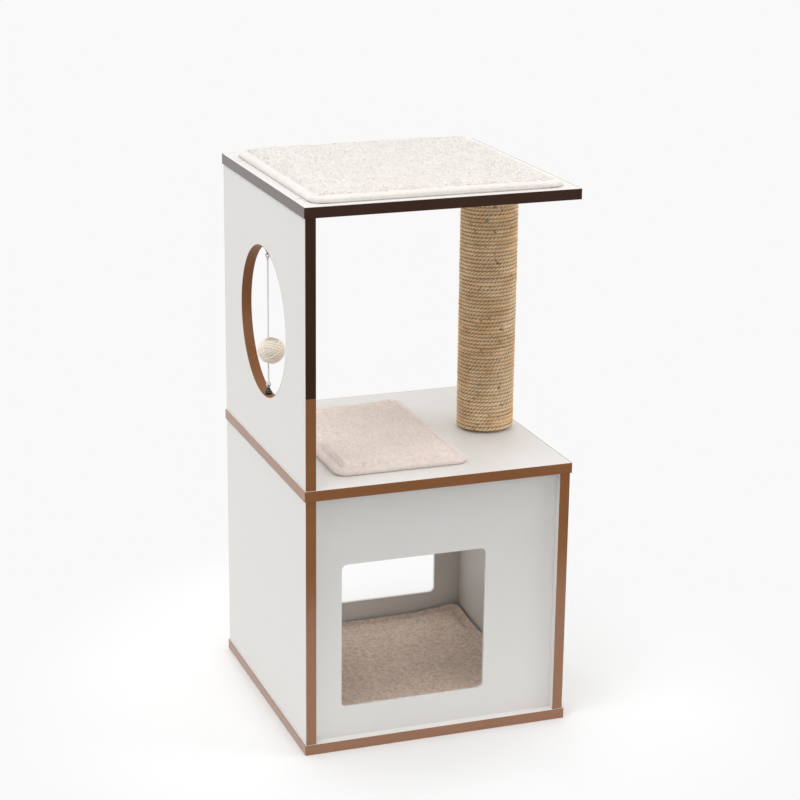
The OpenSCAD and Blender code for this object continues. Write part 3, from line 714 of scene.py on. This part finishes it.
def rope_point(t, phase):
    """One strand's place after t turns. Each noise has a pace and a row of its own."""
    angle = 2 * math.pi * t
    wander = WANDER * (noise.noise((t * 0.9, 2.0, 7.0)) + 0.5 * noise.noise((t * 5.1, 3.0, 5.0)))
    bulge = BULGE * abs(noise.noise((t * 3.7, 9.0, 1.0)))
    twist = 2 * math.pi * (t * twists + TWIST_PLAY * noise.noise((t * 1.3, 4.0, 0.0))) + phase
    r = ROPE_CENTRE_R + bulge + STRAND_OFF * math.cos(twist)
    z = wind_low + pitch * t + wander + STRAND_OFF * math.sin(twist)
    z = min(max(z, wind_low - ROPE_D / 2 + SISAL_R), wind_high + ROPE_D / 2 - SISAL_R)
    return (POST_X + r * math.cos(angle), r * math.sin(angle), z)


for s in range(STRANDS):
    steps = turns * POINTS_PER_TURN
    path = [rope_point(i / POINTS_PER_TURN, 2 * math.pi * s / STRANDS) for i in range(steps + 1)]
    strand = tube_mesh("sisal_strand_%d" % (s + 1), [path], SISAL_R, sides=6)
    join_frame(strand, sisal, "carcass", "sisal", "sisal_winding")
print("turns:", turns, "pitch:", round(pitch / MM, 2), "mm")
print("faces per strand:", len(strand.data.polygons))


# %% Painted valley shade, and flecks
def painted_so_far(material):
    """The material's shader, the colour that reaches it now, and a node that gives coordinates."""
    principled = material.node_tree.nodes["Principled BSDF"]
    colour = principled.inputs["Base Color"].links[0].from_socket
    return principled, colour, place(material.node_tree, "ShaderNodeTexCoord")


def paint_valley_shade(material, **values):
    tree = material.node_tree
    link = tree.links.new
    principled, colour, where = painted_so_far(material)
    shade = place(tree, "ShaderNodeGroup", values, node_tree=valleys)
    link(where.outputs["Object"], shade.inputs["Vector"])
    link(colour, shade.inputs["Color"])
    link(shade.outputs["Color"], principled.inputs["Base Color"])


def dark_flecks(material, scale, start, end, dark):
    """Darkens small spots here and there, as natural fibre has."""
    tree = material.node_tree
    link = tree.links.new
    principled, colour, where = painted_so_far(material)
    spots = place(tree, "ShaderNodeTexNoise", {"Scale": scale, "Detail": 2.0})
    mask = place(tree, "ShaderNodeMapRange",
                 {"From Min": start, "From Max": end, "To Min": 1.0, "To Max": dark})
    shaded = place(tree, "ShaderNodeVectorMath", operation="SCALE")
    link(where.outputs["Object"], spots.inputs["Vector"])
    link(spots.outputs[0], mask.inputs["Value"])
    link(colour, shaded.inputs[0])
    link(mask.outputs[0], shaded.inputs["Scale"])
    link(shaded.outputs[0], principled.inputs["Base Color"])


# Painted shade between the rope's strands and the ball's strands, and a painted highlight on their
# crests.
paint_valley_shade(sisal, Centre=(POST_X, 0, 0), Axes=(1, 1, 0),
              Deep=40.2 * MM, Crest=42.3 * MM, Dark=0.38, Light=1.14)
dark_flecks(sisal, scale=130, start=0.64, end=0.72, dark=0.42)
paint_valley_shade(ball_strand, Centre=ball_centre, Axes=(1, 1, 1),
              Deep=16.6 * MM, Crest=19.5 * MM, Dark=0.60, Light=1.09)
print("valleys and flecks shaded")

# %% Loose fibres
# Sisal sheds short stiff hairs. Several hundred thin ones stand off the rope, each a bent little tube.
FIBRES = 700
FIBRE_R = 0.11 * MM
FIBRE_STEPS = 3
WINDING_R = 42.0 * MM
draw = random.Random(11)
fibre_paths = []
for i in range(FIBRES):
    angle = draw.uniform(0, 2 * math.pi)
    z = draw.uniform(wind_low, wind_high)
    length = draw.uniform(4, 11) * MM
    lean = draw.uniform(-0.5, 0.5)
    lift = draw.uniform(0.8, 2.6) * MM
    path = []
    for k in range(FIBRE_STEPS + 1):
        f = k / FIBRE_STEPS
        r = WINDING_R + lift * f * f
        a = angle + f * length / r
        path.append((POST_X + r * math.cos(a), r * math.sin(a), z + lean * length * f))
    if wind_low < path[-1][2] < wind_high:
        fibre_paths.append(path)
fibres = tube_mesh("sisal_fibres", fibre_paths, FIBRE_R, sides=4)
join_frame(fibres, sisal, "carcass", "sisal")
print("fibres:", len(fibre_paths))

# %% [markdown]
# ## Plush pads
# Three plush pads lie on the boards. Each is a thin foam slab in a fleecy cover whose edge is turned
# under and sewn, which leaves a smooth rolled hem round a raised middle. A cloth simulation with air
# pressure swells the cover while the seam line is pinned, so the hem rolls and the middle crowns. The
# rest is set after it, because it is finer than the simulation's mesh: the sewn groove, the nubbly
# crown, a hem that sags to the board or stands up from it, a corner that curls, and the pile's tufts.

# %% The outline of a pad
HEM_W = 13 * MM
PAD_CORNER = 20 * MM
START_T = 7 * MM
START_MARGIN = 1 * MM
RIM_ROUND = 2.6 * MM
SIM_VOXEL = 3.6 * MM


def inset(spot, low, high):
    """How far a point lies inside the pad's rounded outline."""
    middle = (low + high) / 2
    half = (high - low) / 2
    qx = abs(spot.x - middle.x) - (half.x - PAD_CORNER)
    qy = abs(spot.y - middle.y) - (half.y - PAD_CORNER)
    outside = math.hypot(max(qx, 0), max(qy, 0))
    return PAD_CORNER - outside - min(max(qx, qy), 0)


def pad_blank(low, high):
    """A thin slab with round corners and a soft rim: the cover before it is filled."""
    bm = bmesh.new()
    bmesh.ops.create_cube(bm, size=1)
    size = (high.x - low.x - 2 * START_MARGIN, high.y - low.y - 2 * START_MARGIN, START_T)
    bmesh.ops.scale(bm, vec=size, verts=bm.verts)
    upright = [e for e in bm.edges if abs(e.verts[0].co.z - e.verts[1].co.z) > START_T / 2]
    bmesh.ops.bevel(bm, geom=upright, offset=PAD_CORNER, offset_type="OFFSET", affect="EDGES",
                    segments=10, profile=0.5, material=-1)
    rim = [e for e in bm.edges if e.calc_face_angle(0) > math.radians(60)]
    bmesh.ops.bevel(bm, geom=rim, offset=RIM_ROUND, offset_type="OFFSET", affect="EDGES",
                    segments=3, profile=0.5, material=-1)
    bmesh.ops.translate(bm, vec=((low.x + high.x) / 2, (low.y + high.y) / 2, low.z + START_T / 2),
                        verts=bm.verts)
    return bm


print("hem:", round(HEM_W / MM, 1), "mm, corner:", round(PAD_CORNER / MM, 1), "mm")

# %% Swell by cloth simulation
SIM_STEPS = 20
SEAM_HALF_W = 0.6 * SIM_VOXEL
SWELL_LIMIT = 5 * MM


def swell(piece, low, high):
    """Cloth with air pressure; the seam line is pinned and no point moves further than the limit."""
    rest = [v.co.copy() for v in piece.data.vertices]
    seam = piece.vertex_groups.new(name="seam")
    pinned = [i for i, p in enumerate(rest) if abs(inset(p, low, high) - HEM_W) < SEAM_HALF_W]
    seam.add(pinned, 1.0, "REPLACE")
    cloth = piece.modifiers.new("cover", "CLOTH")
    cloth.settings.quality = 4
    cloth.settings.mass = 0.12
    cloth.settings.vertex_group_mass = seam.name
    cloth.settings.use_pressure = True
    cloth.settings.uniform_pressure_force = 4
    cloth.settings.effector_weights.gravity = 0
    for step in range(1, SIM_STEPS + 1):
        scene.frame_set(step)
    settle(piece)
    scene.frame_set(1)
    for vert, start in zip(piece.data.vertices, rest):
        move = vert.co - start
        if move.length > SWELL_LIMIT:
            vert.co = start + move * (SWELL_LIMIT / move.length)


print("swelling:", SIM_STEPS, "steps, at most", round(SWELL_LIMIT / MM, 1), "mm")


# %% Fit the cover to its outline
def ramp(value, start, end):
    """0 up to the start, 1 from the end, and a smooth rise between."""
    f = min(max((value - start) / (end - start), 0), 1)
    return f * f * (3 - 2 * f)


def fit_outline(bm, low, high):
    """Filling draws the cover's sides in a little. This spreads it to the pad's own outline again."""
    xs = [v.co.x for v in bm.verts]
    ys = [v.co.y for v in bm.verts]
    spread = ((high.x - low.x) / (max(xs) - min(xs)), (high.y - low.y) / (max(ys) - min(ys)), 1)
    middle = (low + high) / 2
    bmesh.ops.translate(bm, vec=-middle, verts=bm.verts)
    bmesh.ops.scale(bm, vec=spread, verts=bm.verts)
    bmesh.ops.translate(bm, vec=middle, verts=bm.verts)
    print("cover spread by", round(spread[0], 3), "and", round(spread[1], 3))


# %% Crown, hem, curl and pile
UPPER_SIDE = (0.4 * START_T, 0.75 * START_T)
SLOPE_W = 9 * MM
SOFT_WAVES = ((22, 0.9 * MM), (70, 0.4 * MM))
NUBS = ((190, 1.2 * MM),)
FRINGE = ((140, 2.0 * MM),)
FRINGE_BAND = (-0.5 * MM, 2.0 * MM)
FLAT_SHARE = 0.66
GROOVE_W = 1.8 * MM
GROOVE_SHARE = 0.13
UNDERSIDE = 1.2 * MM
ON_BOARD = 0.01 * MM
FOAM_FREE = (6 * MM, 19 * MM)
CURL_REACH = 110 * MM


def ripple(spot, waves):
    """The sum of noise waves, each given as (waves per metre, height)."""
    return sum(noise.noise(spot * scale) * height for scale, height in waves)


def shape_cover(piece, low, high, crown_share, bare_hem, hem_rise, curl):
    """Sets the seam groove and the nubbly crown, bends the hem, and curls up the right rear corner."""
    bm = bmesh.new()
    bm.from_mesh(piece.data)
    fit_outline(bm, low, high)
    pile = bm.verts.layers.float.new("pile")
    total = high.z - low.z
    for vert in bm.verts:
        spot = vert.co
        d = inset(spot, low, high)
        up = ramp(spot.z - low.z, *UPPER_SIDE)
        middle = ramp(d, HEM_W, HEM_W + SLOPE_W)
        groove = math.exp(-((d - HEM_W) / GROOVE_W) ** 2) * bare_hem * GROOVE_SHARE
        soft = ripple(spot, SOFT_WAVES)
        nubs = ripple(spot, NUBS)
        crown = min(spot.z - low.z, total * FLAT_SHARE) + middle * total * crown_share
        lift = crown + middle * (soft + nubs) - groove + (1 - middle) * 0.5 * soft
        spot.z = low.z + (1 - up) * max(spot.z - low.z, 0) + up * lift
        fringe = ripple(spot, FRINGE)
        vert[pile] = up * ramp(d + fringe - bare_hem, *FRINGE_BAND)
        if spot.z < low.z + UNDERSIDE:
            spot.z = low.z
        spot.z += hem_rise * (1 - ramp(d, 0, HEM_W))
        near = 1 - math.hypot(high.x - spot.x, high.y - spot.y) / CURL_REACH
        free_of_foam = 1 - ramp(d, *FOAM_FREE)
        spot.z += curl * max(near, 0) ** 2 * max(up, free_of_foam)
    flat = [f for f in bm.faces if all(abs(v.co.z - low.z) < ON_BOARD for v in f.verts)]
    bmesh.ops.delete(bm, geom=flat, context="FACES")
    rim = [e for e in bm.edges if e.is_boundary]
    bmesh.ops.edgeloop_fill(bm, edges=rim)
    bmesh.ops.recalc_face_normals(bm, faces=bm.faces)
    bm.to_mesh(piece.data)
    bm.free()


print("crown slope:", round(SLOPE_W / MM, 1), "mm, curl reach:", round(CURL_REACH / MM, 1), "mm")

# %% Tufts by geometry nodes
TUFT_R = 1.3 * MM
TUFT_H = 0.95 * MM
TUFT_SIZES = (0.75, 1.15)
LEAST_LEAN = (-0.2, -0.4, 0)
MOST_LEAN = (0.4, 0.2, 6.28)


def tuft_nodes(density, seed):
    """Scatters little leaning cones where the pile attribute is high, and joins them to the cover."""
    tree = bpy.data.node_groups.new("plush_tufts", "GeometryNodeTree")
    tree.interface.new_socket("Geometry", in_out="INPUT", socket_type="NodeSocketGeometry")
    tree.interface.new_socket("Geometry", in_out="OUTPUT", socket_type="NodeSocketGeometry")
    start = tree.nodes.new("NodeGroupInput")
    end = tree.nodes.new("NodeGroupOutput")
    pile = place(tree, "GeometryNodeInputNamedAttribute", {"Name": "pile"}, data_type="FLOAT")
    scatter = place(tree, "GeometryNodeDistributePointsOnFaces", {"Density": density, "Seed": seed})
    keep = place(tree, "ShaderNodeMath", operation="MULTIPLY")
    keep.inputs[1].default_value = density
    cone = place(tree, "GeometryNodeMeshCone",
                 {"Vertices": 4, "Radius Top": 0.0, "Radius Bottom": TUFT_R, "Depth": TUFT_H},
                 fill_type="NONE")
    lean = place(tree, "FunctionNodeRandomValue", {"Seed": seed + 1}, data_type="FLOAT_VECTOR")
    lean.inputs[0].default_value = LEAST_LEAN
    lean.inputs[1].default_value = MOST_LEAN
    size = place(tree, "FunctionNodeRandomValue", {"Seed": seed + 2}, data_type="FLOAT")
    size.inputs[2].default_value, size.inputs[3].default_value = TUFT_SIZES
    marked = place(tree, "GeometryNodeStoreNamedAttribute", {"Name": "pile"},
                   data_type="FLOAT", domain="POINT")
    marked.inputs["Value"].default_value = 1.0
    spread = place(tree, "GeometryNodeInstanceOnPoints")
    real = place(tree, "GeometryNodeRealizeInstances")
    join = place(tree, "GeometryNodeJoinGeometry")
    link = tree.links.new
    link(start.outputs[0], scatter.inputs["Mesh"])
    link(pile.outputs[0], keep.inputs[0])
    link(keep.outputs[0], scatter.inputs["Density"])
    link(scatter.outputs["Points"], spread.inputs["Points"])
    link(cone.outputs["Mesh"], marked.inputs["Geometry"])
    link(marked.outputs[0], spread.inputs["Instance"])
    link(lean.outputs[0], spread.inputs["Rotation"])
    link(size.outputs[1], spread.inputs["Scale"])
    link(spread.outputs[0], real.inputs[0])
    link(start.outputs[0], join.inputs[0])
    link(real.outputs[0], join.inputs[0])
    link(join.outputs[0], end.inputs[0])
    return tree


print("a tuft is", round(TUFT_H / MM, 2), "mm tall")

# %% Make the three covers
TUFTS_PER_M2 = 190000
HEM_SAG = -1.7 * MM


def plush_pad(node, name, material, body, seed, **form):
    low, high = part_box(node)
    piece = piece_from(name, pad_blank(low, high), material, body, "plush", node, crisp=180)
    remesh = piece.modifiers.new("even", "REMESH")
    remesh.mode = "VOXEL"
    remesh.voxel_size = SIM_VOXEL
    settle(piece)
    swell(piece, low, high)
    finer = piece.modifiers.new("finer", "SUBSURF")
    finer.levels = finer.render_levels = 1
    settle(piece)
    shape_cover(piece, low, high, **form)
    tufts = piece.modifiers.new("tufts", "NODES")
    tufts.node_group = tuft_nodes(TUFTS_PER_M2, seed)
    settle(piece)
    piece.data.shade_smooth()
    piece.data.materials.clear()
    piece.data.materials.append(material)
    print(name, sum(len(f.vertices) - 2 for f in piece.data.polygons), "triangles")
    return piece


plush_pad("top_pad_cover", "top_plush_pad", top_plush_painted_light, "top_pad", 3,
          crown_share=0.18, bare_hem=HEM_W, hem_rise=HEM_SAG, curl=0)
plush_pad("shelf_pad_cover", "shelf_plush_pad", shelf_plush_painted_shade, "shelf_pad", 5,
          crown_share=0.32, bare_hem=HEM_W, hem_rise=HEM_SAG, curl=5 * MM)
plush_pad("floor_pad_cover", "floor_plush_pad", floor_plush_painted_shade, "floor_pad", 7,
          crown_share=0.30, bare_hem=2 * MM, hem_rise=6 * MM, curl=11 * MM)

# %% [markdown]
# ## Foam cores and hook and loop strips
# A foam slab fills each cover, and pairs of hook and loop strips hold the pads down. They hardly show,
# but they are pieces of the object, so each is a softened copy with its own finish.

# %% Foam and strips
FOAM_ROUND = 1.2 * MM
STRIP_ROUND = 0.2 * MM
for pad in ("top_pad", "shelf_pad", "floor_pad"):
    foam = softened(pad + "_foam", pad + "_foam_core", foam_cells, pad, "foam", FOAM_ROUND, 3)
    softened(pad + "_loop_strips", pad + "_loop_tape", hook_and_loop, pad, "hook_and_loop", STRIP_ROUND)
softened("hook_strips", "hook_tape", hook_and_loop, "carcass", "hook_and_loop", STRIP_ROUND)
print("foam and strips made")

# %% [markdown]
# ## Hardware
# Dowels, screws, cam locks, the post's tube, plugs and bolts keep their CAD shapes, which are right,
# and only take a finish.

# %% Dress the CAD nodes
HARDWARE = {
    "dowels": beech,
    "base_screws": steel,
    "top_screws": steel,
    "top_screw_caps": white_cap,
    "cam_bolts": steel,
    "cam_locks": zinc,
    "post_tube": paper_tube,
    "post_end_plugs": beech,
    "post_inserts": zinc,
    "post_bolts": steel,
    "post_washers": zinc,
}
for node, material in HARDWARE.items():
    nodes[node].data.materials.clear()
    nodes[node].data.materials.append(material)
print("hardware dressed:", len(HARDWARE))

# %% [markdown]
# ## Floor, light and backdrop
# The object stands on a plain pale floor. Near it the floor is a matt surface that takes a soft shadow;
# further out it fades into an even pale tone, so that no horizon shows, and gloss mirrors that tone.
# The world gives soft light from all sides, more from the back and a little more from above. Three
# large lamps add a gentle direction from above, the front and the right, and a small one behind the
# back window brightens the den. A dark flag on the floor before the object, which the camera doesn't
# see, keeps the front edges' gloss from paling them.

# %% Floor
BACKDROP = 0.947
FADE_START = 0.26
FADE_END = 0.66
FLOOR_HALF = 60
FLOOR_Z = -0.2 * MM
FLOOR_TONE = 0.885


def stage_sheet(name, half, middle):
    """A flat square that belongs to the stage."""
    bm = bmesh.new()
    bmesh.ops.create_grid(bm, x_segments=1, y_segments=1, size=half)
    bmesh.ops.translate(bm, vec=middle, verts=bm.verts)
    sheet = object_from(name, bm)
    return sheet


pale_floor = stage_sheet("pale_floor", FLOOR_HALF, (0, 0, FLOOR_Z))
floor_paint = bpy.data.materials.new("floor_paint")
floor_paint.use_nodes = True
tree = floor_paint.node_tree
matt = tree.nodes["Principled BSDF"]
matt.inputs["Base Color"].default_value = (FLOOR_TONE, FLOOR_TONE, FLOOR_TONE, 1)
matt.inputs["Roughness"].default_value = 0.9
matt.inputs["Specular IOR Level"].default_value = 0.1
glow = place(tree, "ShaderNodeEmission",
             {"Color": (BACKDROP, BACKDROP, BACKDROP, 1), "Strength": 1.0})
where = place(tree, "ShaderNodeTexCoord")
reach = place(tree, "ShaderNodeVectorMath", operation="LENGTH")
fade = place(tree, "ShaderNodeMapRange", {"From Min": FADE_START, "From Max": FADE_END},
             interpolation_type="SMOOTHSTEP")
path = place(tree, "ShaderNodeLightPath")
seen = place(tree, "ShaderNodeMath", operation="MULTIPLY")
mirrored = place(tree, "ShaderNodeMath", operation="MAXIMUM")
share = place(tree, "ShaderNodeMath", operation="MAXIMUM")
blend = place(tree, "ShaderNodeMixShader")
link = tree.links.new
link(where.outputs["Object"], reach.inputs[0])
link(reach.outputs["Value"], fade.inputs["Value"])
link(fade.outputs[0], seen.inputs[0])
link(path.outputs["Is Camera Ray"], seen.inputs[1])
link(seen.outputs[0], mirrored.inputs[0])
link(path.outputs["Is Glossy Ray"], mirrored.inputs[1])
link(mirrored.outputs[0], share.inputs[0])
link(path.outputs["Is Transmission Ray"], share.inputs[1])
link(share.outputs[0], blend.inputs[0])
link(matt.outputs[0], blend.inputs[1])
link(glow.outputs[0], blend.inputs[2])
link(blend.outputs[0], tree.nodes["Material Output"].inputs["Surface"])
pale_floor.data.materials.append(floor_paint)
print("floor fades from", FADE_START, "to", FADE_END, "m")

# %% World
SKY_LEVEL = 0.64
SKY_LEAN = (0.03, 0.52, 0.22)
world = bpy.data.worlds.new("soft_room")
scene.world = world
world.use_nodes = True
tree = world.node_tree
sky = tree.nodes["Background"]
sky.inputs["Color"].default_value = (1, 1, 1, 1)
where = place(tree, "ShaderNodeTexCoord")
lean = place(tree, "ShaderNodeVectorMath", operation="DOT_PRODUCT")
lean.inputs[1].default_value = SKY_LEAN
soft = place(tree, "ShaderNodeMath", operation="ADD")
soft.inputs[1].default_value = SKY_LEVEL
path = place(tree, "ShaderNodeLightPath")
seen = place(tree, "ShaderNodeMath", operation="MAXIMUM")
shown = place(tree, "ShaderNodeMath", operation="MAXIMUM")
level = place(tree, "ShaderNodeMix", data_type="FLOAT")
level.inputs[3].default_value = BACKDROP
link = tree.links.new
link(where.outputs["Generated"], lean.inputs[0])
link(lean.outputs["Value"], soft.inputs[0])
link(path.outputs["Is Camera Ray"], seen.inputs[0])
link(path.outputs["Is Glossy Ray"], seen.inputs[1])
link(seen.outputs[0], shown.inputs[0])
link(path.outputs["Is Transmission Ray"], shown.inputs[1])
link(shown.outputs[0], level.inputs[0])
link(soft.outputs[0], level.inputs[2])
link(level.outputs[0], sky.inputs["Strength"])
print("sky from", SKY_LEVEL, "leaning to", SKY_LEAN)


# %% Lamps and a flag
FLAG_FRONT = -0.72
FLAG_HALF = 3
FLAG_Z = 1 * MM


def soft_lamp(name, place_at, size, watts, aim_at=(0, 0, 0.45)):
    """A round lamp that the camera doesn't see."""
    data = bpy.data.lights.new(name, "AREA")
    data.shape = "DISK"
    data.size = size
    data.energy = watts
    lamp = bpy.data.objects.new(name, data)
    scene.collection.objects.link(lamp)
    lamp.location = place_at
    lamp.visible_camera = False
    aim = Vector(aim_at) - Vector(place_at)
    lamp.rotation_mode = "QUATERNION"
    lamp.rotation_quaternion = aim.to_track_quat("-Z", "Y")
    return lamp


soft_lamp("key_lamp", (-1.3, -0.8, 3.2), 2.0, 36)
soft_lamp("front_lamp", (0.2, -2.6, 1.5), 1.8, 12.6)
soft_lamp("side_lamp", (2.2, -1.0, 1.5), 1.6, 15)
window_lamp = soft_lamp("window_lamp", (-0.10, 1.10, 0.60), 0.16, 1.6, (0.06, -0.1, 0.02))
window_lamp.visible_glossy = False
flag = stage_sheet("dark_flag", FLAG_HALF, (0, FLAG_FRONT - FLAG_HALF, FLAG_Z))
flag.visible_camera = False
flag_cloth = bpy.data.materials.new("flag_cloth")
flag_cloth.use_nodes = True
dull_cloth = flag_cloth.node_tree.nodes["Principled BSDF"]
dull_cloth.inputs["Base Color"].default_value = (0.02, 0.02, 0.02, 1)
dull_cloth.inputs["Roughness"].default_value = 1.0
flag.data.materials.append(flag_cloth)
scene.view_settings.view_transform = "Standard"
print("lamps and flag placed")
